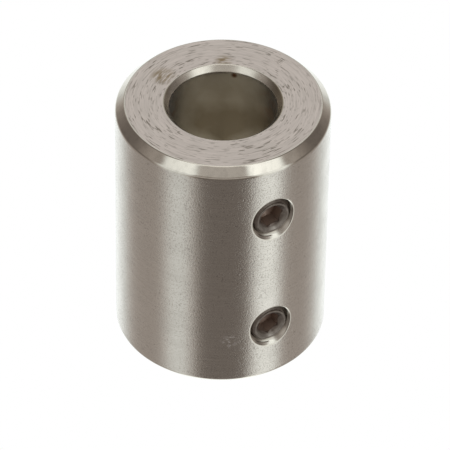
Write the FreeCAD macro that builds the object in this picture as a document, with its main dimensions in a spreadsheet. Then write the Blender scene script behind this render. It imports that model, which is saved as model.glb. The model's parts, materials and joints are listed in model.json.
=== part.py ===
# Rigid sleeve coupling: a one-piece steel sleeve with a plain through bore, and two
# M5 hexagon socket set screws with cup points, one near each end, in tapped holes that
# open at a countersunk mouth. All sizes are in millimetres.
#
# Frame: the origin is on the bore's axis at mid-length, +Z runs along the bore, and the
# set screws face -Y. Each set screw is modelled in its own local frame, with the origin
# on its axis in the socket face and +Z pointing outward, and is then placed in its hole.
# A set screw is one piece in reality. Its cup point is a body of its own here, so that
# the point can slide while the threaded part turns and slides with it.

import FreeCAD, Part
import os

import Sketcher
from FreeCAD import Placement, Rotation, Vector

# Driving dimensions, kept in the sheet "Dims" under these names.
DIMENSIONS = {
    # sleeve
    "sleeve_radius": 12.0,
    "half_length": 16.0,
    "bore_radius": 6.0,
    "outer_chamfer": 1.0,
    "bore_chamfer": 0.6,
    # tapped holes: M5 x 0.8, right hand
    "hole_height": 8.0,
    "mouth_radius": 2.85,
    "pitch": 0.8,
    "hole_minor_radius": 2.067,
    "hole_major_radius": 2.5,
    "hole_root_flat": 0.1,
    "thread_depth": 0.75,
    # set screws: M5 x 5 with a cup point and a 2.5 mm hexagon socket
    "screw_recess": 0.3,
    "screw_length": 5.0,
    "screw_major_radius": 2.40,
    "screw_minor_radius": 1.98,
    "end_radius": 1.95,
    "flank_gap": 0.07,
    "socket_flats": 2.5,
    "socket_depth": 2.0,
    "socket_mouth_radius": 1.75,
    "point_radius": 1.25,
    "cup_radius": 1.17,
}

# Both ends of the coupling: node prefix, side of the middle, and the socket's turn in degrees.
ENDS = [("upper", 1, 10.0), ("lower", -1, 25.0)]

# How far a turned cut reaches past the surface that it must break through.
OVERCUT = 0.4

# How far a thread groove's section reaches past the crests that it leaves.
CREST_OVERLAP = 0.04

# Whole turns by which a thread's cut starts before the metal and runs on past it.
LEAD_TURNS = 2


def make_sheet(doc):
    """Put the driving dimensions in a sheet, one per row."""
    sheet = doc.addObject("Spreadsheet::Sheet", "Dims")
    for row, (alias, value) in enumerate(DIMENSIONS.items(), start=1):
        sheet.set(f"A{row}", alias)
        sheet.set(f"B{row}", str(value))
        sheet.setAlias(f"B{row}", alias)
    doc.recompute()
    return sheet


def origin_item(body, role):
    """The plane or axis of the body's own origin that has this role."""
    for item in body.Origin.OriginFeatures:
        if item.Role == role:
            return item
    raise ValueError(f"no origin item {role}")


def make_body(doc, label):
    body = doc.addObject("PartDesign::Body", label)
    body.Label = label
    return body


def make_sketch(body, name, plane):
    sketch = body.newObject("Sketcher::SketchObject", name)
    sketch.AttachmentSupport = [(origin_item(body, plane), "")]
    sketch.MapMode = "FlatFace"
    return sketch


def pin_point(sketch, line, end, across, up):
    """Hold one end of a line at the sketch position that two expressions give."""
    for kind, expression in (("DistanceX", across), ("DistanceY", up)):
        index = sketch.addConstraint(Sketcher.Constraint(kind, -1, 1, line, end, 1.0))
        sketch.setExpression(f"Constraints[{index}]", expression)


def draw_axis(sketch, height):
    """A construction line along the sketch's x direction, at this height."""
    start, stop = Vector(-30, 5, 0), Vector(-1, 5, 0)
    line = sketch.addGeometry(Part.LineSegment(start, stop), True)
    sketch.addConstraint(Sketcher.Constraint("Horizontal", line))
    pin_point(sketch, line, 1, "-3 * Dims.sleeve_radius", height)
    index = sketch.addConstraint(Sketcher.Constraint("Distance", line, 29.0))
    sketch.setExpression(f"Constraints[{index}]", "2 * Dims.sleeve_radius")


def draw_outline(sketch, corners):
    """A closed outline of straight lines whose corners are pairs of expressions."""
    count = len(corners)
    turn = 360.0 / count
    rough = [Rotation(Vector(0, 0, 1), turn * i).multVec(Vector(1, 0, 0)) for i in range(count)]
    lines = []
    for i in range(count):
        lines.append(sketch.addGeometry(Part.LineSegment(rough[i], rough[(i + 1) % count]), False))
    for i, line in enumerate(lines):
        sketch.addConstraint(Sketcher.Constraint("Coincident", line, 2, lines[(i + 1) % count], 1))
    for line, (across, up) in zip(lines, corners):
        pin_point(sketch, line, 1, across, up)


def draw_hexagon(sketch, flats):
    """A regular hexagon about the sketch's origin, this far across its flats."""
    corner = Vector(1.5, 0, 0)
    corners = [Rotation(Vector(0, 0, 1), 60 * i).multVec(corner) for i in range(6)]
    circle = sketch.addGeometry(Part.Circle(Vector(), Vector(0, 0, 1), 1.5), True)
    sketch.addConstraint(Sketcher.Constraint("Coincident", circle, 3, -1, 1))
    index = sketch.addConstraint(Sketcher.Constraint("Radius", circle, 1.5))
    sketch.setExpression(f"Constraints[{index}]", f"{flats} / 2 / cos(30 deg)")
    lines = []
    for i in range(6):
        lines.append(sketch.addGeometry(Part.LineSegment(corners[i], corners[(i + 1) % 6]), False))
    for i, line in enumerate(lines):
        sketch.addConstraint(Sketcher.Constraint("Coincident", line, 2, lines[(i + 1) % 6], 1))
        sketch.addConstraint(Sketcher.Constraint("PointOnObject", line, 1, circle))
    for line in lines[1:]:
        sketch.addConstraint(Sketcher.Constraint("Equal", lines[0], line))
    sketch.addConstraint(Sketcher.Constraint("PointOnObject", lines[0], 1, -1))


def revolve(body, kind, name, sketch, axis):
    """A full Revolution or Groove of the sketch about one of its own axes."""
    feature = body.newObject(f"PartDesign::{kind}", name)
    feature.Profile = sketch
    feature.ReferenceAxis = (sketch, [axis])
    feature.Angle = 360
    return feature


def cut_thread(body, name, sketch, axis, depth):
    """Cut a right-hand thread inward: sweep the groove's section along a helix."""
    thread = body.newObject("PartDesign::SubtractiveHelix", name)
    thread.Profile = sketch
    thread.ReferenceAxis = (sketch, [axis])
    thread.Mode = 0
    thread.setExpression("Pitch", "Dims.pitch")
    thread.setExpression("Height", f"{depth} + 2 * {LEAD_TURNS} * Dims.pitch")
    thread.LeftHanded = False
    thread.Reversed = True
    return thread


def build_sleeve(doc):
    """The sleeve: a bored and chamfered tube with two tapped, countersunk holes."""
    body = make_body(doc, "sleeve")

    section = make_sketch(body, "SleeveSection", "XZ_Plane")
    inner, outer, top = "Dims.bore_radius", "Dims.sleeve_radius", "Dims.half_length"
    inner_break, outer_break = "Dims.bore_chamfer", "Dims.outer_chamfer"
    draw_outline(section, [
        (inner, f"-{top} + {inner_break}"),
        (f"{inner} + {inner_break}", f"-{top}"),
        (f"{outer} - {outer_break}", f"-{top}"),
        (outer, f"-{top} + {outer_break}"),
        (outer, f"{top} - {outer_break}"),
        (f"{outer} - {outer_break}", top),
        (f"{inner} + {inner_break}", top),
        (inner, f"{top} - {inner_break}"),
    ])
    revolve(body, "Revolution", "SleeveTube", section, "V_Axis")

    axis_height = "Dims.hole_height"
    core, mouth = "Dims.hole_minor_radius", "Dims.mouth_radius"
    hole_end = f"-{inner} + 2 * {OVERCUT}"
    hole = make_sketch(body, "HoleSection", "YZ_Plane")
    draw_axis(hole, axis_height)
    draw_outline(hole, [
        (f"-{outer} - {OVERCUT}", axis_height),
        (f"-{outer} - {OVERCUT}", f"{axis_height} + {mouth} + {OVERCUT}"),
        (f"-{outer} + {mouth} - {core}", f"{axis_height} + {core}"),
        (hole_end, f"{axis_height} + {core}"),
        (hole_end, axis_height),
    ])
    hole_cut = revolve(body, "Groove", "Hole", hole, "Axis0")

    groove = make_sketch(body, "HoleThreadSection", "YZ_Plane")
    draw_axis(groove, axis_height)
    root, half_flat = "Dims.hole_major_radius", "Dims.hole_root_flat / 2"
    middle = f"(-{outer} + Dims.thread_depth - {LEAD_TURNS} * Dims.pitch)"
    rise = f"({root} - {core} + {CREST_OVERLAP})"
    half_base = f"({half_flat} + {rise} * tan(30 deg))"
    draw_outline(groove, [
        (f"{middle} - {half_base}", f"{axis_height} + {root} - {rise}"),
        (f"{middle} - {half_flat}", f"{axis_height} + {root}"),
        (f"{middle} + {half_flat}", f"{axis_height} + {root}"),
        (f"{middle} + {half_base}", f"{axis_height} + {root} - {rise}"),
    ])
    thread_cut = cut_thread(body, "HoleThread", groove, "Axis0", f"{outer} - {inner}")

    pattern = body.newObject("PartDesign::LinearPattern", "BothHoles")
    pattern.Originals = [hole_cut, thread_cut]
    pattern.Direction = (origin_item(body, "Z_Axis"), [""])
    pattern.Reversed = True
    pattern.setExpression("Length", "2 * Dims.hole_height")
    pattern.Occurrences = 2
    body.Tip = pattern
    return body


def place_in_hole(body, side):
    """Stand a screw's local frame in its hole: socket face outward, below the rim."""
    body.Placement = Placement(Vector(0, 0, 0), Rotation(Vector(1, 0, 0), 90))
    body.setExpression("Placement.Base.y", "-Dims.sleeve_radius + Dims.screw_recess")
    body.setExpression("Placement.Base.z", f"{side} * Dims.hole_height")


def build_set_screw(doc, prefix, side, socket_turn):
    """The threaded part of a set screw, with its chamfered ends and hexagon socket."""
    body = make_body(doc, f"{prefix}_set_screw")
    crest, end = "Dims.screw_major_radius", "Dims.end_radius"
    bottom = "(-Dims.screw_length + Dims.end_radius - Dims.point_radius)"

    section = make_sketch(body, "ScrewSection", "YZ_Plane")
    draw_outline(section, [
        ("0", "0"),
        (end, "0"),
        (crest, f"{end} - {crest}"),
        (crest, f"{bottom} + {crest} - {end}"),
        (end, bottom),
        ("0", bottom),
    ])
    revolve(body, "Revolution", "ScrewBlank", section, "V_Axis")

    mouth, flats = "Dims.socket_mouth_radius", "Dims.socket_flats"
    lead = make_sketch(body, "SocketLeadSection", "YZ_Plane")
    draw_outline(lead, [
        ("0", f"{OVERCUT}"),
        (mouth, f"{OVERCUT}"),
        (mouth, "0"),
        ("0", f"-{mouth}"),
    ])
    revolve(body, "Groove", "SocketLead", lead, "V_Axis")

    drill = make_sketch(body, "SocketDrillSection", "YZ_Plane")
    draw_outline(drill, [
        ("0", "0"),
        (f"{flats} / 2", "0"),
        (f"{flats} / 2", "-Dims.socket_depth"),
        ("0", f"-Dims.socket_depth - {flats} / 2 * tan(30 deg)"),
    ])
    revolve(body, "Groove", "SocketDrill", drill, "V_Axis")

    hexagon = make_sketch(body, "SocketHexagon", "XY_Plane")
    hexagon.AttachmentOffset = Placement(Vector(), Rotation(Vector(0, 0, 1), socket_turn))
    draw_hexagon(hexagon, flats)
    socket = body.newObject("PartDesign::Pocket", "Socket")
    socket.Profile = hexagon
    socket.setExpression("Length", "Dims.socket_depth")

    groove = make_sketch(body, "ScrewThreadSection", "YZ_Plane")
    root, pitch = "Dims.screw_minor_radius", "Dims.pitch"
    hole_groove = f"(Dims.hole_root_flat / 2 + (Dims.hole_major_radius - {root}) * tan(30 deg))"
    half_root = f"({pitch} / 2 - {hole_groove} + Dims.flank_gap)"
    middle = f"(Dims.screw_recess - Dims.thread_depth - {pitch} / 2 + {LEAD_TURNS} * {pitch})"
    rise = f"({crest} - {root} + {CREST_OVERLAP})"
    half_base = f"({half_root} + {rise} * tan(30 deg))"
    draw_outline(groove, [
        (f"{root} + {rise}", f"{middle} - {half_base}"),
        (root, f"{middle} - {half_root}"),
        (root, f"{middle} + {half_root}"),
        (f"{root} + {rise}", f"{middle} + {half_base}"),
    ])
    thread = cut_thread(body, "ScrewThread", groove, "V_Axis", "Dims.screw_length")
    body.Tip = thread
    place_in_hole(body, side)
    return body


def build_cup_point(doc, prefix, side):
    """The cup point: a short cone with a hollow end, in line with the threaded part."""
    body = make_body(doc, f"{prefix}_cup_point")
    end, point, cup = "Dims.end_radius", "Dims.point_radius", "Dims.cup_radius"
    tip = "-Dims.screw_length"
    section = make_sketch(body, "PointSection", "YZ_Plane")
    draw_outline(section, [
        ("0", f"{tip} + {end} - {point}"),
        (end, f"{tip} + {end} - {point}"),
        (point, tip),
        (cup, tip),
        ("0", f"{tip} + {cup} * tan(30 deg)"),
    ])
    revolve(body, "Revolution", "Point", section, "V_Axis")
    place_in_hole(body, side)
    return body


def check_document(doc, bodies):
    """Stop on a failed object, or on a sub-part with no valid solid."""
    for item in doc.Objects:
        if "Invalid" in item.State or "Error" in item.State:
            raise RuntimeError(f"{item.Name} failed: {item.State}")
    for body in bodies:
        shape = body.Shape
        if shape.isNull() or not shape.isValid() or len(shape.Solids) != 1:
            raise RuntimeError(f"{body.Label} is not one valid solid")
        print(f"{body.Label}: {shape.Volume:.2f} mm3, {len(shape.Faces)} faces")


def main():
    doc = FreeCAD.newDocument("Coupling")
    make_sheet(doc)
    bodies = [build_sleeve(doc)]
    for prefix, side, socket_turn in ENDS:
        bodies.append(build_set_screw(doc, prefix, side, socket_turn))
        bodies.append(build_cup_point(doc, prefix, side))
    doc.recompute()
    check_document(doc, bodies)
    os.makedirs("parts", exist_ok=True)
    for body in bodies:
        body.Shape.exportStep(f"parts/{body.Label}.step")


main()
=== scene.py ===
import json
import math

import bmesh
import bpy
import numpy as np
from mathutils import Matrix, Vector


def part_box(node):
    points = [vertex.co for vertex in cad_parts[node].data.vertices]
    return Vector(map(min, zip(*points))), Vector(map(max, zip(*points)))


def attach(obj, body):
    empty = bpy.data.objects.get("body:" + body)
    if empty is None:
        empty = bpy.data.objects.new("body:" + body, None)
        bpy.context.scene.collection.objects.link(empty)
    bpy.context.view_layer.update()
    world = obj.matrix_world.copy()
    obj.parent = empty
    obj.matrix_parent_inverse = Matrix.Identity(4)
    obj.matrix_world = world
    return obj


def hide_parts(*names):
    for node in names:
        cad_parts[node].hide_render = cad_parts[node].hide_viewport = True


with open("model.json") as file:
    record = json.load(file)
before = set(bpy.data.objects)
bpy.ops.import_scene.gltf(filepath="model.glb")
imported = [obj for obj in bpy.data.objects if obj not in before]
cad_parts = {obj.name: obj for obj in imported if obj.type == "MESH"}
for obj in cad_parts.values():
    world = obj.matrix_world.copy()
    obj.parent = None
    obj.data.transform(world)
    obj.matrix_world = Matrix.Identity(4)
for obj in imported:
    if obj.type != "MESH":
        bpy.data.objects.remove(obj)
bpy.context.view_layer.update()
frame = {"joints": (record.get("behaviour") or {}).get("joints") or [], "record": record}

# ---------------------------------------------------------------------------
# Sizes, in millimetres. What the frame knows comes from the frame.
# ---------------------------------------------------------------------------

MM = 0.001

record = frame["record"]
joints = {joint["name"]: joint for joint in frame["joints"]}
mounts = {mount["name"]: mount for mount in record["mounts"]}
coupling = record["behaviour"]["couplings"][0]

RADIUS = record["size"]["bbox_m"][0] / 2 / MM
HALF_LENGTH = record["size"]["bbox_m"][2] / 2 / MM
BORE_RADIUS = mounts["shaft_bore"]["dims"]["r_mm"]
PITCH = 2 * math.pi / coupling["ratio"] / MM
HOLE_HEIGHTS = {end: joints[f"{end}_screw_turn"]["pos_m"][2] / MM for end in ("upper", "lower")}
SCREW_FACE_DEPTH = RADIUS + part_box("upper_set_screw")[0].y / MM
SCREW_SPLIT_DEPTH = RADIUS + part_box("upper_cup_point")[0].y / MM - SCREW_FACE_DEPTH
SCREW_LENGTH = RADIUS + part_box("upper_cup_point")[1].y / MM - SCREW_FACE_DEPTH

# The rest repeats the part's own dimensions, apart from the broken edges.
OUTER_CHAMFER = 1.0
BORE_CHAMFER = 0.6
RIM_EDGE_BREAK = 0.11
# Broken edges of an end, from the outside in to the bore.
END_EDGE_BREAKS = [0.18, 0.10, 0.08, 0.07]

# The countersink is a 90-degree cone: its radius shrinks by as much as its depth grows.
MOUTH_RADIUS = 2.85
HOLE_MINOR_RADIUS = 2.067
HOLE_MAJOR_RADIUS = 2.5
# Width of the flat at the bottom of the thread groove.
HOLE_ROOT_FLAT = 0.1
# Depth of the thread groove's middle at the top of the hole.
THREAD_DEPTH = 0.75

SCREW_MAJOR_RADIUS = 2.40
SCREW_MINOR_RADIUS = 1.98
SCREW_END_RADIUS = 1.95
# Play between the flanks of the screw and of the hole, on each side, along the screw.
FLANK_GAP = 0.07
SOCKET_FLATS = 2.5
SOCKET_DEPTH = 2.0
SOCKET_MOUTH_RADIUS = 1.75
# Where each socket's first corner points, in degrees from +X toward +Z.
SOCKET_TURN = {"upper": 10.0, "lower": 25.0}
POINT_RADIUS = 1.25
CUP_RADIUS = 1.17
# The thread's flanks, the socket's drilled tip and the cup all lean 30 degrees from square to the hole.
FLANK_SLOPE = math.tan(math.radians(30))

# ---------------------------------------------------------------------------
# Camera: above the front, to the left of the screws
# ---------------------------------------------------------------------------

# Distances are in metres, pan, tilt and roll in radians, lens and sensor in millimetres.
CAMERA_AZIMUTH = math.radians(28.99)
CAMERA_ELEVATION = math.radians(41.21)
CAMERA_DISTANCE = 0.4684
CAMERA_PAN = -0.00087
CAMERA_TILT = -0.00345
CAMERA_ROLL = -0.01523
CAMERA_LENS = 331.1
SENSOR_WIDTH = 36.0
CLIP_START = 0.01


def make_camera():
    """A long lens on the coupling's middle, then a small pan, tilt and roll for the framing."""
    flat = math.cos(CAMERA_ELEVATION)
    away = Vector((-math.sin(CAMERA_AZIMUTH) * flat, -math.cos(CAMERA_AZIMUTH) * flat,
                   math.sin(CAMERA_ELEVATION)))
    forward = -away
    right = forward.cross(Vector((0, 0, 1))).normalized()
    up = right.cross(forward)
    for angle, axis_name in ((CAMERA_PAN, "up"), (CAMERA_TILT, "right"), (CAMERA_ROLL, "forward")):
        axis = {"up": up, "right": right, "forward": forward}[axis_name]
        turn = Matrix.Rotation(angle, 3, axis)
        forward, right, up = turn @ forward, turn @ right, turn @ up
    camera = bpy.data.objects.new("camera", bpy.data.cameras.new("camera"))
    bpy.context.scene.collection.objects.link(camera)
    axes = Matrix((right, up, -forward)).transposed().to_4x4()
    camera.matrix_world = Matrix.Translation(away * CAMERA_DISTANCE) @ axes
    camera.data.lens = CAMERA_LENS
    camera.data.sensor_width = SENSOR_WIDTH
    camera.data.clip_start = CLIP_START
    bpy.context.scene.camera = camera


# ---------------------------------------------------------------------------
# Shader node helpers
# ---------------------------------------------------------------------------


class Nodes:
    """Short calls that add and join nodes in one shader tree."""

    def __init__(self, owner):
        owner.use_nodes = True
        self.tree = owner.node_tree
        self.tree.nodes.clear()

    def put(self, value, socket):
        """Join an output to the socket, or set the socket's own value."""
        if isinstance(value, bpy.types.NodeSocket):
            self.tree.links.new(value, socket)
        else:
            socket.default_value = value

    def add(self, kind, settings=None, inputs=None):
        """Add a node, with its settings and what goes into its inputs."""
        node = self.tree.nodes.new(kind)
        for name, value in (settings or {}).items():
            setattr(node, name, value)
        for name, value in (inputs or {}).items():
            self.put(value, node.inputs[name])
        return node

    def math(self, operation, *values, clamp=False):
        """The result of a sum, product or other operation on the values."""
        node = self.add("ShaderNodeMath", {"operation": operation, "use_clamp": clamp})
        for value, socket in zip(values, node.inputs):
            self.put(value, socket)
        return node.outputs[0]

    def remap(self, value, low, high, to_low=0.0, to_high=1.0, smooth=True):
        """The value's place between low and high, as a number from to_low to to_high."""
        kind = "SMOOTHSTEP" if smooth else "LINEAR"
        node = self.add("ShaderNodeMapRange", {"interpolation_type": kind})
        for socket, item in zip(node.inputs, (value, low, high, to_low, to_high)):
            self.put(item, socket)
        return node.outputs[0]

    def noise(self, vector, scale, detail=2.0, roughness=0.5):
        """Soft random patches, more of them per millimetre at a larger scale."""
        inputs = {"Vector": vector, "Scale": scale, "Detail": detail, "Roughness": roughness}
        return self.add("ShaderNodeTexNoise", inputs=inputs).outputs[0]

    def mix(self, factor, first, second):
        """The first colour where the factor is 0, the second where it is 1."""
        node = self.add("ShaderNodeMix", {"data_type": "RGBA"})
        # The node's colours are its inputs 6 and 7 and its output 2.
        self.put(factor, node.inputs[0])
        self.put(first, node.inputs[6])
        self.put(second, node.inputs[7])
        return node.outputs[2]

    def position(self):
        """The point's place in millimetres, as a vector and as its three parts."""
        spot = self.add("ShaderNodeTexCoord").outputs["Object"]
        scaled = self.add("ShaderNodeVectorMath", {"operation": "SCALE"})
        self.put(spot, scaled.inputs[0])
        self.put(1 / MM, scaled.inputs["Scale"])
        parts = self.add("ShaderNodeSeparateXYZ", inputs={0: scaled.outputs[0]})
        return scaled.outputs[0], parts.outputs[0], parts.outputs[1], parts.outputs[2]

    def near(self, spot, places, core=0.2):
        """How near the point is to any of the places: 1 in the core of its reach, 0 beyond its reach."""
        nearest = 0.0
        for place, reach in places:
            away = self.add("ShaderNodeVectorMath", {"operation": "DISTANCE"}, {0: spot, 1: place})
            nearness = self.remap(away.outputs["Value"], core * reach, reach, 1.0, 0.0)
            nearest = self.math("MAXIMUM", nearness, nearest)
        return nearest

    def length(self, across, up):
        """The length of a flat vector."""
        squares = self.math("ADD", self.math("MULTIPLY", across, across), self.math("MULTIPLY", up, up))
        return self.math("SQRT", squares)

    def vector(self, across, along, up):
        """One vector from its three parts."""
        node = self.add("ShaderNodeCombineXYZ")
        for value, socket in zip((across, along, up), node.inputs):
            self.put(value, socket)
        return node.outputs[0]


# ---------------------------------------------------------------------------
# Light: a studio of soft panels all round, one weak lamp, a pale floor and a painted shadow disc
# ---------------------------------------------------------------------------

# Each soft panel: azimuth from the camera's side, half width, softness; elevation, half height,
# softness (all in degrees); brightness.
PANELS = [
    ("right_softbox_high", 50, 19, 4, 45, 20, 12, 1.10),
    ("left_softbox_high", -48.5, 18.5, 4, 45, 20, 12, 0.80),
    ("right_side_high", 80, 12, 14, 34, 12, 12, 0.25),
    ("left_side_high", -80, 12, 14, 34, 12, 12, 0.21),
    ("right_softbox_low", 51.5, 15.5, 8, -35, 55, 10, 0.94),
    ("left_softbox_low", -47, 16, 11, -35, 55, 10, 0.65),
    ("walls_low", 180, 115, 15, -50, 40, 14, 0.195),
    ("backdrop_low", 180, 50, 27, -40, 38, 14, 0.84),
    ("backdrop_high", 180, 45, 22, 48, 36, 16, 0.64),
    ("front_high", 0, 75, 15, 60, 18, 8, 0.38),
    ("front_middle", 0, 70, 15, 18, 14, 7, 0.33),
    ("floor_near", 0, 181, 1, -90, 26, 10, 0.75),
]
ROOM_BRIGHTNESS = 0.165
# Where the studio is dim it is warmer, and where it is bright it is cooler.
DIM_TINT = (1.12, 1.0, 0.93, 1.0)
BRIGHT_TINT = (0.96, 1.01, 1.02, 1.0)
DIM, BRIGHT = 0.15, 0.90
BACKGROUND = (1.0, 1.0, 1.0, 1.0)

# The lamp's height and size are in metres, the sizes of the floor and the painted shadow disc in
# millimetres.
LAMP_HEIGHT = 0.7
LAMP_SIZE = 0.5
LAMP_POWER = 0.4

FLOOR_RADIUS = 900.0
FLOOR_GAP = 0.02
SHADOW_DISC_GAP = 0.01
# How far the painted shadow disc stays inside the rim of the coupling's lower end.
SHADOW_DISC_INSET = 0.3
# The painted shadow disc: a dark colour, and a painted glow for the light that comes down through the bore.
SHADOW_DISC_COLOR = (0.10, 0.085, 0.055, 1.0)
SHADOW_DISC_GLOW = (0.29, 0.265, 0.212, 1.0)


def make_world():
    """Soft panels seen in the steel, and a plain white background behind the coupling."""
    world = bpy.data.worlds.new("studio")
    bpy.context.scene.world = world
    nodes = Nodes(world)
    direction = nodes.add("ShaderNodeTexCoord").outputs["Generated"]
    turned = nodes.add("ShaderNodeVectorRotate", {"rotation_type": "Z_AXIS"},
                       {"Vector": direction, "Angle": CAMERA_AZIMUTH})
    parts = nodes.add("ShaderNodeSeparateXYZ", inputs={0: turned.outputs[0]})
    toward = nodes.math("MULTIPLY", parts.outputs[1], -1.0)
    azimuth = nodes.math("DEGREES", nodes.math("ARCTAN2", parts.outputs[0], toward))
    elevation = nodes.math("DEGREES", nodes.math("ARCSINE", parts.outputs[2]))
    total = ROOM_BRIGHTNESS
    for _name, az, half_width, az_soft, el, half_height, el_soft, brightness in PANELS:
        across = nodes.math("WRAP", nodes.math("SUBTRACT", azimuth, az), 180.0, -180.0)
        across = nodes.math("ABSOLUTE", across)
        across = nodes.remap(across, half_width - az_soft, half_width + az_soft, 1.0, 0.0)
        along = nodes.math("ABSOLUTE", nodes.math("SUBTRACT", elevation, el))
        along = nodes.remap(along, half_height - el_soft, half_height + el_soft, 1.0, 0.0)
        panel = nodes.math("MULTIPLY", nodes.math("MULTIPLY", across, along), brightness)
        total = nodes.math("ADD", total, panel)
    tint = nodes.mix(nodes.remap(total, DIM, BRIGHT), DIM_TINT, BRIGHT_TINT)
    studio = nodes.add("ShaderNodeBackground", inputs={"Color": tint, "Strength": total})
    plain = nodes.add("ShaderNodeBackground", inputs={"Color": BACKGROUND})
    seen = nodes.add("ShaderNodeLightPath").outputs["Is Camera Ray"]
    choice = nodes.add("ShaderNodeMixShader")
    nodes.put(seen, choice.inputs[0])
    nodes.put(studio.outputs[0], choice.inputs[1])
    nodes.put(plain.outputs[0], choice.inputs[2])
    nodes.add("ShaderNodeOutputWorld", inputs={"Surface": choice.outputs[0]})


def make_overhead_light():
    """One large, weak lamp high above, for soft shading where the metal is dull."""
    lamp = bpy.data.lights.new("overhead", "AREA")
    lamp.shape = "DISK"
    lamp.size = LAMP_SIZE
    lamp.energy = LAMP_POWER
    holder = bpy.data.objects.new("overhead", lamp)
    holder.location = (0.0, 0.0, LAMP_HEIGHT)
    bpy.context.scene.collection.objects.link(holder)


def make_disc(name, radius, height, material, steps=96):
    """A flat round sheet, radius and height in millimetres."""
    angles = [2 * math.pi * i / steps for i in range(steps)]
    ring = [(radius * MM * math.cos(a), radius * MM * math.sin(a), height * MM) for a in angles]
    mesh = bpy.data.meshes.new(name)
    mesh.from_pydata(ring, [], [list(range(steps))])
    mesh.materials.append(material)
    disc = bpy.data.objects.new(name, mesh)
    bpy.context.scene.collection.objects.link(disc)
    return disc


def make_floor():
    """A pale floor under the coupling, and on it a painted shadow disc, dark with a painted glow, that
    closes the bore from below.
    """
    pale = bpy.data.materials.new("pale_floor")
    nodes = Nodes(pale)
    glow = nodes.add("ShaderNodeEmission", inputs={"Color": BACKGROUND, "Strength": 1.0})
    nodes.add("ShaderNodeOutputMaterial", inputs={"Surface": glow.outputs[0]})
    floor = make_disc("floor", FLOOR_RADIUS, -HALF_LENGTH - FLOOR_GAP, pale)
    floor.visible_glossy = False
    floor.visible_diffuse = False
    # Painted shadow under the coupling, lit by a painted glow that stands for the light through the bore.
    shadow_paint = bpy.data.materials.new("dark_rest")
    nodes = Nodes(shadow_paint)
    shader = nodes.add("ShaderNodeBsdfPrincipled", inputs={
        "Base Color": SHADOW_DISC_COLOR, "Roughness": 0.8,
        "Emission Color": SHADOW_DISC_GLOW, "Emission Strength": 1.0})
    nodes.add("ShaderNodeOutputMaterial", inputs={"Surface": shader.outputs[0]})
    shadow_disc_radius = RADIUS - OUTER_CHAMFER - SHADOW_DISC_INSET
    shadow_disc = make_disc("dark_rest", shadow_disc_radius, -HALF_LENGTH - SHADOW_DISC_GAP, shadow_paint)


# ---------------------------------------------------------------------------
# Materials
# ---------------------------------------------------------------------------

# In these materials places, radii and depths are in millimetres, and a noise varies about 0.5.
STEEL = (0.640, 0.590, 0.515, 1.0)
STEEL_END = (0.660, 0.570, 0.515, 1.0)
STEEL_DARK = (0.30, 0.27, 0.235, 1.0)
STEEL_SIDE = (0.735, 0.685, 0.615, 1.0)
SCUFFED = (0.90, 0.87, 0.83, 1.0)
TORN = (0.22, 0.185, 0.15, 1.0)
STAINED = (0.24, 0.17, 0.09, 1.0)
# Painted shade on the sides of the bore's chamfer.
SHADED_CHAMFER = (0.26, 0.215, 0.145, 1.0)

BORE_CLEAN = (0.90, 0.875, 0.83, 1.0)
# The bore's darker colour: old oil, and painted shade where the bore's masks put it.
BORE_OIL_AND_SHADE = (0.56, 0.51, 0.435, 1.0)
BORE_TINGED = (0.80, 0.62, 0.50, 1.0)
BORE_STAINED = (0.25, 0.13, 0.08, 1.0)

# Hole colours: plain steel at the mouth, painted shade at the mouth's right side and deep in the thread, and
# painted light on the thread at the upper right.
MOUTH_CLEAN = (0.64, 0.60, 0.53, 1.0)
MOUTH_SHADED = (0.11, 0.095, 0.075, 1.0)
THREAD_SHADED = (0.27, 0.23, 0.185, 1.0)
THREAD_LIT = (0.62, 0.55, 0.46, 1.0)

SCREW_BLACK = (0.135, 0.105, 0.085, 1.0)
SCREW_WORN = (0.20, 0.165, 0.135, 1.0)
# Painted highlight on the lower side of the socket's lead.
SCREW_HIGHLIGHT = (0.34, 0.305, 0.265, 1.0)
# Painted light: a lighter brown that lifts the deep socket out of its shade.
SCREW_SOCKET_LIT = (0.34, 0.25, 0.20, 1.0)

# Marks, each with its place and how far it reaches.
STAINS = [((-3.8, 7.1, 16.0), 1.9), ((3.45, 6.3, 16.0), 1.3)]
BORE_STAINS = [((3.9, 4.6, 15.0), 0.5)]
BORE_TINGE = [((5.7, -1.0, 12.5), 4.0), ((-4.6, 3.9, 13.0), 3.0)]
SPECKLED = [((-9.7, -7.0, 9.0), 9.0), ((-1.5, -11.9, 13.0), 7.0), ((-1.5, -11.9, 1.5), 6.5),
            ((-1.5, -11.9, -12.0), 7.0)]
SCUFFS = [((-4.85, -10.97, -9.1), 1.4)]
# A level direction across the bore, fixed to the sleeve, the same as the camera's right: the painted shade
# on the bore and its chamfer changes along it, and so does the bore's oil film.
SHADE_DIRECTION = (0.875, -0.485)


def finish_material(nodes, color, roughness, bump, strength, distance, metallic=1.0):
    """The shader's end: a Principled surface with one bump, its distance in millimetres."""
    shader = nodes.add("ShaderNodeBsdfPrincipled", inputs={
        "Base Color": color, "Metallic": metallic, "Roughness": roughness})
    relief = nodes.add("ShaderNodeBump", inputs={
        "Strength": strength, "Distance": distance * MM, "Height": bump})
    nodes.put(relief.outputs[0], shader.inputs["Normal"])
    nodes.add("ShaderNodeOutputMaterial", inputs={"Surface": shader.outputs[0]})


def round_the_axis(nodes, x, y, out, radius, turns, rows):
    """Coordinates that run round the bore's axis: marks in them are arcs about it.

    More turns make the arcs shorter, and more rows put them closer together along out.
    """
    rise = nodes.math("MULTIPLY", out, rows)
    across = nodes.math("MULTIPLY", nodes.math("DIVIDE", x, radius), turns)
    along = nodes.math("MULTIPLY", nodes.math("DIVIDE", y, radius), turns)
    return nodes.vector(across, along, rise)


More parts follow.
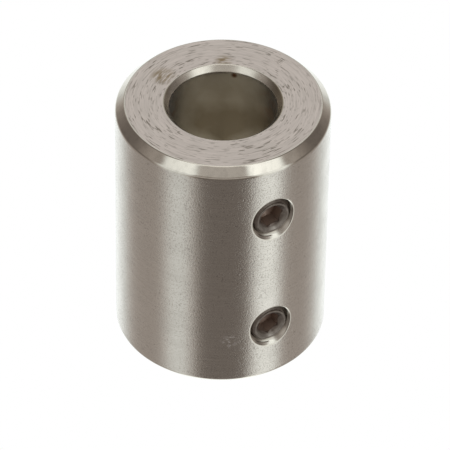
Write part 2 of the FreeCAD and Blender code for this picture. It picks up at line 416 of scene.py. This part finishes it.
def along_shade_direction(nodes, x, y):
    """How far the point lies along the direction in which the painted shade and the oil change."""
    return nodes.math("ADD", nodes.math("MULTIPLY", x, SHADE_DIRECTION[0]),
                      nodes.math("MULTIPLY", y, SHADE_DIRECTION[1]))


def above_hole_axis(nodes, z):
    """How far the point lies above the axis of its own end's screw hole."""
    axis_height = nodes.math("MULTIPLY", nodes.math("SIGN", z), HOLE_HEIGHTS["upper"])
    return nodes.math("SUBTRACT", z, axis_height)


def steel_side():
    """The turned outside: fine rings and grain, small dark specks and pits, one faint scuff, and painted
    shade that darkens it towards the top.
    """
    material = bpy.data.materials.new("steel_side")
    nodes = Nodes(material)
    spot, x, y, z = nodes.position()
    turned = round_the_axis(nodes, x, y, z, radius=RADIUS, turns=3.0, rows=6.0)
    rings = nodes.noise(turned, scale=1.0, detail=3.0)
    grain = nodes.noise(spot, scale=5.5, detail=3.0, roughness=0.65)
    patches = nodes.math("ADD", nodes.noise(spot, scale=0.28, detail=1.0), nodes.near(spot, SPECKLED))
    patches = nodes.remap(patches, 0.30, 0.95, 0.60, 1.15)
    specks = nodes.remap(nodes.noise(spot, scale=6.0, detail=1.0), 0.54, 0.68)
    specks = nodes.math("MULTIPLY", specks, patches)
    pits = nodes.remap(nodes.noise(spot, scale=2.2, detail=2.0, roughness=0.55), 0.66, 0.74)
    mottle = nodes.noise(spot, scale=0.35, detail=2.0)
    dirt = nodes.math("MAXIMUM", nodes.math("MULTIPLY", specks, 0.33), nodes.math("MULTIPLY", pits, 0.45))
    color = nodes.mix(dirt, STEEL_SIDE, STEEL_DARK)
    # Mottle and rings darken the surface like a film. An even darkening towards the top is painted shade,
    # because the lower side is lit from the floor.
    film_and_shade = nodes.math("ADD", nodes.remap(mottle, 0.3, 0.7, 0.0, 0.07),
                      nodes.remap(z, -HALF_LENGTH, HALF_LENGTH, 0.0, 0.10, smooth=False))
    film_and_shade = nodes.math("ADD", film_and_shade, nodes.remap(rings, 0.3, 0.7, 0.0, 0.10))
    color = nodes.mix(film_and_shade, color, STEEL_DARK)
    scratches = nodes.remap(nodes.noise(spot, scale=2.2, detail=1.0), 0.46, 0.60)
    scuff = nodes.math("MULTIPLY", nodes.near(spot, SCUFFS), scratches)
    color = nodes.mix(scuff, color, SCUFFED)
    roughness = nodes.remap(mottle, 0.3, 0.7, 0.18, 0.22)
    height = nodes.math("ADD", nodes.math("MULTIPLY", rings, 0.12), nodes.math("MULTIPLY", grain, 0.62))
    height = nodes.math("SUBTRACT", height, nodes.math("MULTIPLY", dirt, 0.5))
    height = nodes.math("ADD", height, nodes.math("MULTIPLY", scuff, 0.6))
    finish_material(nodes, color, roughness, height, strength=0.48, distance=0.045)
    return material


def steel_end():
    """The faced ends: rings about the bore, short dark torn arcs and brown stains near the bore."""
    material = bpy.data.materials.new("steel_end")
    nodes = Nodes(material)
    spot, x, y, _z = nodes.position()
    radius = nodes.length(x, y)
    fine = round_the_axis(nodes, x, y, radius, radius=radius, turns=2.5, rows=6.0)
    rings = nodes.noise(fine, scale=1.0, detail=3.0)
    dashes = round_the_axis(nodes, x, y, radius, radius=radius, turns=7.5, rows=6.5)
    torn = nodes.remap(nodes.noise(dashes, scale=1.0, detail=1.0), 0.56, 0.67)
    patches = nodes.remap(nodes.noise(spot, scale=0.42, detail=1.0), 0.42, 0.60, 0.38, 1.0)
    torn = nodes.math("MULTIPLY", torn, patches)
    streaks = nodes.remap(nodes.noise(dashes, scale=0.7, detail=3.0), 0.36, 0.56)
    stain = nodes.math("MULTIPLY", nodes.near(spot, STAINS), streaks)
    shade = nodes.remap(rings, 0.3, 0.7, 0.0, 0.26)
    color = nodes.mix(shade, STEEL_END, STEEL_DARK)
    color = nodes.mix(nodes.math("MULTIPLY", torn, 0.92), color, TORN)
    color = nodes.mix(nodes.math("MULTIPLY", stain, 0.9), color, STAINED)
    height = nodes.math("SUBTRACT", nodes.math("MULTIPLY", rings, 0.5), nodes.math("MULTIPLY", torn, 0.6))
    finish_material(nodes, color, 0.36, height, strength=0.30, distance=0.02)
    return material


def steel_edge():
    """The chamfers: smoothly turned, with fine rings, and painted shade at both sides of the bore's mouth.
    """
    material = bpy.data.materials.new("steel_edge")
    nodes = Nodes(material)
    spot, x, y, _z = nodes.position()
    radius = nodes.length(x, y)
    turned = round_the_axis(nodes, x, y, radius, radius=radius, turns=4.0, rows=14.0)
    rings = nodes.noise(turned, scale=1.0, detail=2.0)
    # Painted shade: the bore chamfer is darkened at both sides across the view, which dims its reflections
    # there.
    across = along_shade_direction(nodes, x, y)
    near_side = nodes.remap(across, 4.4, 6.1, 0.0, 0.85)
    far_side = nodes.remap(across, -5.6, -6.3, 0.0, 0.6)
    bore_only = nodes.remap(radius, 7.2, 6.9)
    chamfer_shade = nodes.math("MULTIPLY", nodes.math("MAXIMUM", near_side, far_side), bore_only)
    dull = nodes.remap(nodes.noise(spot, scale=1.3, detail=3.0, roughness=0.6), 0.42, 0.72, 0.0, 0.22)
    color = nodes.mix(dull, STEEL, STEEL_DARK)
    color = nodes.mix(chamfer_shade, color, SHADED_CHAMFER)
    roughness = nodes.remap(radius, 7.0, 10.0, 0.26, 0.11)
    finish_material(nodes, color, roughness, rings, strength=0.15, distance=0.01)
    return material


def steel_bore():
    """The reamed bore: fine rings under an uneven film of old oil with painted shade, a brown tinge and one
    stain.
    """
    material = bpy.data.materials.new("steel_bore")
    nodes = Nodes(material)
    spot, x, y, z = nodes.position()
    turned = round_the_axis(nodes, x, y, z, radius=BORE_RADIUS, turns=3.0, rows=12.0)
    rings = nodes.noise(turned, scale=1.0, detail=3.0)
    across = along_shade_direction(nodes, x, y)
    off_middle = nodes.math("ABSOLUTE", across)
    # Painted shade placed across the view: a band below the mouth, the wall's middle and the upper part of
    # its right side are darkened, which sets what the bore's reflections show.
    low_edge = nodes.math("SUBTRACT", z, nodes.math("MULTIPLY", off_middle, 0.8))
    shade_band = nodes.math("MULTIPLY", nodes.remap(z, 12.5, 9.0), nodes.remap(low_edge, 4.0, 6.0))
    shade_band = nodes.math("MULTIPLY", shade_band, nodes.remap(across, -4.8, -2.8))
    middle = nodes.remap(off_middle, 1.5, 3.5, 0.25, 0.0)
    side = nodes.math("MULTIPLY", nodes.remap(across, 1.5, 5.5, 0.0, 0.35), nodes.remap(z, 8.0, 10.0))
    # Uneven old oil, added on top of the painted shade.
    film_and_shade = nodes.remap(nodes.noise(spot, scale=0.5, detail=3.0), 0.30, 0.70, -0.15, 0.15)
    film_and_shade = nodes.math("ADD", film_and_shade, nodes.math("MAXIMUM", shade_band, middle))
    film_and_shade = nodes.math("ADD", film_and_shade, side, clamp=True)
    color = nodes.mix(film_and_shade, BORE_CLEAN, BORE_OIL_AND_SHADE)
    clouds = nodes.remap(nodes.noise(spot, scale=0.6, detail=2.0), 0.35, 0.6)
    tinge = nodes.math("MULTIPLY", nodes.near(spot, BORE_TINGE), clouds)
    color = nodes.mix(nodes.math("MULTIPLY", tinge, 0.6), color, BORE_TINGED)
    color = nodes.mix(nodes.near(spot, BORE_STAINS), color, BORE_STAINED)
    finish_material(nodes, color, 0.31, rings, strength=0.2, distance=0.015)
    return material


def steel_hole():
    """The tapped holes and their countersinks: cut steel, with painted shade on the countersink's right side
    and deeper in the hole, and painted light on the thread at the upper right.
    """
    material = bpy.data.materials.new("steel_hole")
    nodes = Nodes(material)
    spot, x, y, z = nodes.position()
    depth = nodes.math("ADD", y, RADIUS)
    above = above_hole_axis(nodes, z)
    # Painted shade on the countersink's right side, and painted light on the thread above it, which lifts
    # the shadow of the groove there.
    shading_upper_right = nodes.math("MULTIPLY", nodes.remap(x, 0.8, 2.2), nodes.remap(above, -1.4, 0.4))
    mouth = nodes.mix(shading_upper_right, MOUTH_CLEAN, MOUTH_SHADED)
    thread_fill_light = nodes.math("MULTIPLY", shading_upper_right, nodes.remap(above, -0.2, 0.8))
    thread = nodes.mix(thread_fill_light, THREAD_SHADED, THREAD_LIT)
    # Deeper in the hole the colour turns darker: painted shade.
    color = nodes.mix(nodes.remap(depth, 0.30, 0.70), mouth, thread)
    grain = nodes.noise(spot, scale=6.0, detail=2.0)
    finish_material(nodes, color, 0.24, grain, strength=0.15, distance=0.01)
    return material


def screw_steel():
    """The set screws: brown-black steel with worn patches, a painted highlight on the lower side of the
    socket edge, and a socket painted lighter against its shade.
    """
    material = bpy.data.materials.new("screw_steel")
    nodes = Nodes(material)
    spot, x, y, z = nodes.position()
    depth = nodes.math("ADD", y, RADIUS)
    above = above_hole_axis(nodes, z)
    radius = nodes.length(x, above)
    wear = nodes.remap(nodes.noise(spot, scale=1.6, detail=3.0, roughness=0.6), 0.40, 0.68)
    color = nodes.mix(wear, SCREW_BLACK, SCREW_WORN)
    # Painted highlight: the lower side of the socket's lead, near the face, is made lighter, broken up by
    # the wear.
    socket_edge = nodes.math("MULTIPLY", nodes.remap(radius, 1.72, 1.80, 1.0, 0.0),
                             nodes.remap(radius, 1.40, 1.60))
    near_face = nodes.math("MULTIPLY", nodes.remap(depth, 1.0, 0.8), nodes.remap(above, 0.2, -0.8))
    lead_highlight = nodes.math("MULTIPLY", nodes.math("MULTIPLY", socket_edge, near_face),
                        nodes.remap(wear, 0.0, 1.0, 0.6, 1.0))
    color = nodes.mix(lead_highlight, color, SCREW_HIGHLIGHT)
    # The deep socket is painted a lighter brown: painted light that lifts it out of its shade.
    socket = nodes.math("MULTIPLY", nodes.remap(radius, 1.50, 1.45), nodes.remap(depth, 0.7, 1.0))
    color = nodes.mix(socket, color, SCREW_SOCKET_LIT)
    grain = nodes.noise(spot, scale=5.0, detail=3.0)
    finish_material(nodes, color, 0.33, grain, strength=0.25, distance=0.012, metallic=0.5)
    return material


# ---------------------------------------------------------------------------
# Mesh helpers
# ---------------------------------------------------------------------------

# Faces that meet at more than this angle keep a sharp edge.
SHARP_ANGLE = math.radians(32)
# Points closer than this, in metres, become one.
WELD_DISTANCE = 2e-7


class Skin:
    """Grids of points, in millimetres, that are welded into one closed mesh."""

    def __init__(self):
        self.points = []
        self.faces = []
        self.slots = []

    def add_grid(self, rows, slot=0):
        """Join neighbouring rows of points with four-sided faces."""
        rows = np.asarray(rows, float)
        count_rows, count_columns = rows.shape[:2]
        first = len(self.points)
        self.points.extend(rows.reshape(-1, 3).tolist())
        for i in range(count_rows - 1):
            for j in range(count_columns - 1):
                corner = first + i * count_columns + j
                self.faces.append((corner, corner + 1, corner + count_columns + 1, corner + count_columns))
                self.slots.append(slot)

    def to_object(self, name, materials):
        """Weld the grids, shade them smooth with sharp edges, and put the piece in the scene."""
        mesh = bpy.data.meshes.new(name)
        mesh.from_pydata([(x * MM, y * MM, z * MM) for x, y, z in self.points], [], self.faces)
        mesh.polygons.foreach_set("material_index", self.slots)
        work = bmesh.new()
        work.from_mesh(mesh)
        bmesh.ops.remove_doubles(work, verts=work.verts, dist=WELD_DISTANCE)
        bmesh.ops.dissolve_degenerate(work, edges=work.edges, dist=WELD_DISTANCE)
        bmesh.ops.recalc_face_normals(work, faces=work.faces)
        open_edges = sum(1 for edge in work.edges if not edge.is_manifold)
        print(f"{name}: {len(work.faces)} faces, {open_edges} open edges")
        work.to_mesh(mesh)
        work.free()
        for material in materials:
            mesh.materials.append(material)
        mesh.shade_smooth()
        mesh.set_sharp_from_angle(angle=SHARP_ANGLE)
        piece = bpy.data.objects.new(name, mesh)
        bpy.context.scene.collection.objects.link(piece)
        return piece


def bend(start, corner, stop, steps=3):
    """Rows of points that bend smoothly from start to stop, inside the corner."""
    ramp = [i / steps for i in range(steps + 1)]
    return [(1 - t) ** 2 * start + 2 * t * (1 - t) * corner + t ** 2 * stop for t in ramp]


def round_corner(before, corner, after, size):
    """Points of a small round between two straight stretches that meet at a corner."""
    before, corner, after = np.asarray(before, float), np.asarray(corner, float), np.asarray(after, float)

    def toward(point):
        gap = np.linalg.norm(point - corner, axis=-1, keepdims=True)
        return corner + (point - corner) * size / gap

    return bend(toward(before), corner, toward(after))


# Here and in in_hole, adding 0 times the angle spreads one number over a whole ring of points.
def on_cylinder(radius, angle, height):
    """Points of an upright cylinder, by their angle from -Y toward +X and their height."""
    return np.stack([radius * np.sin(angle), -radius * np.cos(angle), height + 0 * angle], axis=-1)


def in_hole(radius, turn, depth, height):
    """Points about a screw hole's axis: by radius, angle from +X toward +Z, and depth below the outside."""
    across, up = radius * np.cos(turn), height + radius * np.sin(turn)
    return np.stack([across, depth - RADIUS + 0 * turn, up], axis=-1)


def groove_depth(turn):
    """Depth of the middle of the hole's thread groove: a right-hand helix about the hole's axis."""
    return THREAD_DEPTH - PITCH * (turn - math.pi / 2) / (2 * math.pi)


def thread_offset(turn, depth):
    """How far a point lies from the middle of the nearest turn of the groove, along the hole."""
    return (depth - groove_depth(turn) + PITCH / 2) % PITCH - PITCH / 2


def hole_radius(turn, depth):
    """The tapped hole's radius: its thread, opened by the countersink."""
    gap = np.abs(thread_offset(turn, depth)) - HOLE_ROOT_FLAT / 2
    thread = np.clip(HOLE_MAJOR_RADIUS - gap / FLANK_SLOPE, HOLE_MINOR_RADIUS, HOLE_MAJOR_RADIUS)
    return np.maximum(thread, MOUTH_RADIUS - depth)


def thread_rows(turn, first_depth, last_depth, knots):
    """Depths of rows that follow the thread from one depth to the other, one row for each knot."""
    middle = groove_depth(turn)
    first_turn = math.floor((np.min(first_depth) - np.max(middle)) / PITCH) - 1
    last_turn = math.ceil((np.max(last_depth) - np.min(middle)) / PITCH) + 1
    rows = []
    for k in range(first_turn, last_turn + 1):
        for knot in knots:
            rows.append(np.clip(middle + k * PITCH + knot, first_depth, last_depth))
    return rows


def flank_knots(inner, outer, steps=5):
    """Knots of one thread turn: its flat middle, its two flanks in steps, and its outer flat."""
    flank = np.linspace(inner, outer, steps + 1)
    land = np.linspace(outer, PITCH / 2, 3)[1:-1]
    one_side = np.concatenate([flank, land])
    return np.concatenate([-one_side[::-1], one_side, [PITCH / 2]])


# ---------------------------------------------------------------------------
# Sleeve
# ---------------------------------------------------------------------------

# The angle from one column of points to the next, and a hair that keeps the last column in a range.
COLUMN_STEP = math.radians(2.0)
HAIR = 1e-6
# Rows of each plain stretch of a wall, between the patches.
SIDE_ROWS = 8
BORE_ROWS = 6
# Steps across a stretch of an end: fine beside the broken edges, coarse between them.
STRETCH_STEPS = [0.0, 0.04, 0.35, 0.65, 0.96, 1.0]
# The part of a wall round a hole. Both patches have the same number of points round them.
OUTER_PATCH = {"half_angle": math.radians(24), "half_height": 5.0, "columns": 24, "rows": 24}
BORE_PATCH = {"half_angle": math.radians(36), "half_height": 4.0, "columns": 36, "rows": 12}
# Rings of faces in a patch. They crowd toward the hole by this power.
PATCH_RINGS = 12
PATCH_CROWDING = 1.4
# Rounds of the search for where a cone or a hole meets a cylinder.
RIM_ROUNDS = 40
HOLE_END_ROUNDS = 120
# Material slots of the sleeve.
SIDE, END, EDGE, BORE, HOLE = range(5)


def patch_loop(patch):
    """Angles and heights of the points round a patch, counterclockwise seen from outside the sleeve.

    Points with the same number in both patches lie about the same way from the hole.
    """
    a, b = patch["half_angle"], patch["half_height"]
    columns, rows = patch["columns"], patch["rows"]
    across = np.linspace(-a, a, columns + 1)
    up = np.linspace(-b, b, rows + 1)
    angles = np.concatenate([np.full(rows, a), across[:0:-1], np.full(rows, -a), across[:-1]])
    heights = np.concatenate([up[:-1], np.full(columns, b), up[:0:-1], np.full(columns, -b)])
    start = (OUTER_PATCH["rows"] - rows) // 2
    return np.roll(angles, start), np.roll(heights, start)


def close_loop(values):
    """The same values with the first one again at the end."""
    return np.concatenate([values, values[:1]])


def add_patch(skin, slot, radius, height, inner_angle, inner_height, patch):
    """Fill a patch of a cylinder from a hole's edge out to the patch's four sides."""
    outer_angle, outer_height = (close_loop(values) for values in patch_loop(patch))
    rows = []
    for i in range(PATCH_RINGS + 1):
        t = (i / PATCH_RINGS) ** PATCH_CROWDING
        angle = inner_angle + (outer_angle - inner_angle) * t
        rise = inner_height + (outer_height - inner_height) * t
        rows.append(on_cylinder(radius, angle, height + rise))
    skin.add_grid(rows, slot)


def add_wall(skin, slot, radius, top, patch, plain_rows):
    """A cylinder wall with a gap for each hole's patch."""
    low, high = sorted(HOLE_HEIGHTS.values())
    half = patch["half_height"]
    # Each span: its start, its stop, its rows, and whether a patch takes its front.
    spans = [(-top, low - half, plain_rows, False), (low - half, low + half, patch["rows"], True),
             (low + half, high - half, plain_rows, False), (high - half, high + half, patch["rows"], True),
             (high + half, top, plain_rows, False)]
    behind = np.arange(patch["half_angle"], 2 * math.pi - patch["half_angle"] + HAIR, COLUMN_STEP)
    front = np.linspace(-patch["half_angle"], patch["half_angle"], patch["columns"] + 1)
    for start, stop, count, has_patch in spans:
        levels = np.linspace(start, stop, count + 1)
        skin.add_grid([on_cylinder(radius, behind, level) for level in levels], slot)
        if not has_patch:
            skin.add_grid([on_cylinder(radius, front, level) for level in levels], slot)


def add_hole(skin, height):
    """One tapped hole: broken rim, countersink and thread, down into the bore."""
    loop_angle, loop_height = patch_loop(OUTER_PATCH)
    turn = np.unwrap(np.arctan2(close_loop(loop_height), close_loop(loop_angle) * RADIUS))

    rim = np.full_like(turn, MOUTH_RADIUS)
    for _ in range(RIM_ROUNDS):
        rim = MOUTH_RADIUS - (RADIUS - np.sqrt(RADIUS ** 2 - (rim * np.cos(turn)) ** 2))
    rim_depth = MOUTH_RADIUS - rim
    corner = in_hole(rim, turn, rim_depth, height)
    beyond = rim + RIM_EDGE_BREAK
    beyond_angle = np.arcsin(beyond * np.cos(turn) / RADIUS)
    outside = on_cylinder(RADIUS, beyond_angle, height + beyond * np.sin(turn))
    # The cone leans 45 degrees, so a length along it reaches sqrt(0.5) of itself deeper.
    first_depth = rim_depth + RIM_EDGE_BREAK * math.sqrt(0.5)
    inside = in_hole(hole_radius(turn, first_depth), turn, first_depth, height)
    skin.add_grid(bend(outside, corner, inside), EDGE)
    add_patch(skin, SIDE, RADIUS, height, beyond_angle, beyond * np.sin(turn), OUTER_PATCH)

    last_depth = np.full_like(turn, RADIUS - BORE_RADIUS)
    for _ in range(HOLE_END_ROUNDS):
        end = hole_radius(turn, last_depth)
        last_depth = RADIUS - np.sqrt(BORE_RADIUS ** 2 - (end * np.cos(turn)) ** 2)
    half_groove = HOLE_ROOT_FLAT / 2 + (HOLE_MAJOR_RADIUS - HOLE_MINOR_RADIUS) * FLANK_SLOPE
    knots = flank_knots(HOLE_ROOT_FLAT / 2, half_groove)
    rows = [in_hole(hole_radius(turn, depth), turn, depth, height)
            for depth in thread_rows(turn, first_depth, last_depth, knots)]
    rows[-1] = in_hole(end, turn, last_depth, height)
    skin.add_grid(rows, HOLE)
    add_patch(skin, BORE, BORE_RADIUS, height, np.arcsin(end * np.cos(turn) / BORE_RADIUS),
              end * np.sin(turn), BORE_PATCH)


def add_end(skin, side):
    """One end: outside chamfer, flat ring and bore chamfer, with every edge broken."""
    wall_top = HALF_LENGTH - OUTER_CHAMFER
    bore_top = HALF_LENGTH - BORE_CHAMFER
    # The first and last points only give the walls' direction.
    corners = [(RADIUS, wall_top - 1), (RADIUS, wall_top), (RADIUS - OUTER_CHAMFER, HALF_LENGTH),
               (BORE_RADIUS + BORE_CHAMFER, HALF_LENGTH), (BORE_RADIUS, bore_top),
               (BORE_RADIUS, bore_top - 1)]
    rounds = [round_corner(*corners[i:i + 3], size) for i, size in enumerate(END_EDGE_BREAKS)]
    around = np.arange(0, 2 * math.pi + HAIR, COLUMN_STEP)
    slots = [EDGE, END, EDGE]
    for i, points in enumerate(rounds):
        skin.add_grid([on_cylinder(r, around, side * z) for r, z in points], EDGE)
        if i < len(slots):
            stretch = [points[-1] + (rounds[i + 1][0] - points[-1]) * t for t in STRETCH_STEPS]
            skin.add_grid([on_cylinder(r, around, side * z) for r, z in stretch], slots[i])


def build_sleeve():
    """The sleeve: side, bore, both holes and both ends, welded into one closed mesh."""
    skin = Skin()
    side_top = HALF_LENGTH - OUTER_CHAMFER - END_EDGE_BREAKS[0]
    bore_top = HALF_LENGTH - BORE_CHAMFER - END_EDGE_BREAKS[-1]
    add_wall(skin, SIDE, RADIUS, side_top, OUTER_PATCH, SIDE_ROWS)
    add_wall(skin, BORE, BORE_RADIUS, bore_top, BORE_PATCH, BORE_ROWS)
    for height in HOLE_HEIGHTS.values():
        add_hole(skin, height)
    for side in (1, -1):
        add_end(skin, side)
    materials = [steel_side(), steel_end(), steel_edge(), steel_bore(), steel_hole()]
    sleeve = skin.to_object("sleeve_shell", materials)
    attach(sleeve, "sleeve")
    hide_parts("sleeve")


# ---------------------------------------------------------------------------
# Set screws
# ---------------------------------------------------------------------------

# Steps of the angle round a screw.
SCREW_COLUMNS = 96
# Half the width of the screw thread's crest and of its foot, along the screw.
CREST_HALF = HOLE_ROOT_FLAT / 2 + (HOLE_MAJOR_RADIUS - SCREW_MAJOR_RADIUS) * FLANK_SLOPE - FLANK_GAP
FOOT_HALF = CREST_HALF + (SCREW_MAJOR_RADIUS - SCREW_MINOR_RADIUS) * FLANK_SLOPE


def screw_radius(turn, depth):
    """The set screw's outside: its thread, closed in by the chamfers at both ends."""
    gap = np.abs(thread_offset(turn, depth + SCREW_FACE_DEPTH)) - CREST_HALF
    thread = np.clip(SCREW_MAJOR_RADIUS - gap / FLANK_SLOPE, SCREW_MINOR_RADIUS, SCREW_MAJOR_RADIUS)
    chamfers = SCREW_END_RADIUS + np.minimum(depth, SCREW_SPLIT_DEPTH - depth)
    return np.minimum(thread, chamfers)


def add_stretch(skin, turn, height, start, stop, steps):
    """Join rings about a screw's axis, from one radius and depth below its face to another."""
    (first_radius, first_depth), (last_radius, last_depth) = start, stop
    rows = []
    for t in steps:
        radius = first_radius + (last_radius - first_radius) * t
        depth = first_depth + (last_depth - first_depth) * t
        rows.append(in_hole(radius, turn, depth + SCREW_FACE_DEPTH, height))
    skin.add_grid(rows)


def hexagon_radius(turn, first_corner):
    """Distance from the axis to the socket's wall."""
    sixth = math.pi / 3
    off = (turn - first_corner) % sixth - sixth / 2
    return SOCKET_FLATS / 2 / np.cos(off)


def build_set_screw(end, material):
    """The threaded part of a set screw: thread, chamfered ends and hexagon socket."""
    height = HOLE_HEIGHTS[end]
    first_corner = math.radians(SOCKET_TURN[end])
    turn = first_corner + np.linspace(0, 2 * math.pi, SCREW_COLUMNS + 1)
    skin = Skin()
    knots = flank_knots(CREST_HALF, FOOT_HALF)
    depths = thread_rows(turn, SCREW_FACE_DEPTH, SCREW_FACE_DEPTH + SCREW_SPLIT_DEPTH, knots)
    skin.add_grid([in_hole(screw_radius(turn, depth - SCREW_FACE_DEPTH), turn, depth, height)
                   for depth in depths])

    hexagon = hexagon_radius(turn, first_corner)
    mouth, floor = SOCKET_MOUTH_RADIUS, SOCKET_FLATS / 2
    lead_depth = mouth - hexagon
    tip_depth = SOCKET_DEPTH + floor * FLANK_SLOPE
    # Each stretch: radius and depth where it starts and where it stops, and its steps.
    stretches = [
        ((SCREW_END_RADIUS, 0), (mouth, 0), (0, 0.25, 0.5, 0.75, 1)),
        ((mouth, 0), (hexagon, lead_depth), (0, 0.5, 1)),
        ((hexagon, lead_depth), (hexagon, SOCKET_DEPTH), np.linspace(0, 1, 9)),
        ((hexagon, SOCKET_DEPTH), (floor, SOCKET_DEPTH), (0, 1)),
        ((floor, SOCKET_DEPTH), (0, tip_depth), (0, 0.5, 0.9, 1)),
        ((SCREW_END_RADIUS, SCREW_SPLIT_DEPTH), (0, SCREW_SPLIT_DEPTH), (0, 0.5, 1))]
    for start, stop, steps in stretches:
        add_stretch(skin, turn, height, start, stop, steps)
    screw = skin.to_object(f"{end}_threaded_screw", [material])
    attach(screw, f"{end}_screw")
    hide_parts(f"{end}_set_screw")


def build_cup_point(end, material):
    """The set screw's end: a short cone with a hollow tip and a narrow rim."""
    height = HOLE_HEIGHTS[end]
    turn = np.linspace(0, 2 * math.pi, SCREW_COLUMNS + 1)
    # Radius and depth of each corner.
    outline = [(0.0, SCREW_SPLIT_DEPTH), (SCREW_END_RADIUS, SCREW_SPLIT_DEPTH), (POINT_RADIUS, SCREW_LENGTH),
               (CUP_RADIUS, SCREW_LENGTH), (0.0, SCREW_LENGTH - CUP_RADIUS * FLANK_SLOPE)]
    skin = Skin()
    for start, stop in zip(outline, outline[1:]):
        add_stretch(skin, turn, height, start, stop, np.linspace(0, 1, 6))
    point = skin.to_object(f"{end}_screw_point", [material])
    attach(point, f"{end}_point")
    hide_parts(f"{end}_cup_point")


# ---------------------------------------------------------------------------
# Everything
# ---------------------------------------------------------------------------

bpy.context.scene.view_settings.view_transform = "Standard"
make_camera()
make_world()
make_overhead_light()
make_floor()
build_sleeve()
screw_material = screw_steel()
for screw_end in HOLE_HEIGHTS:
    build_set_screw(screw_end, screw_material)
    build_cup_point(screw_end, screw_material)
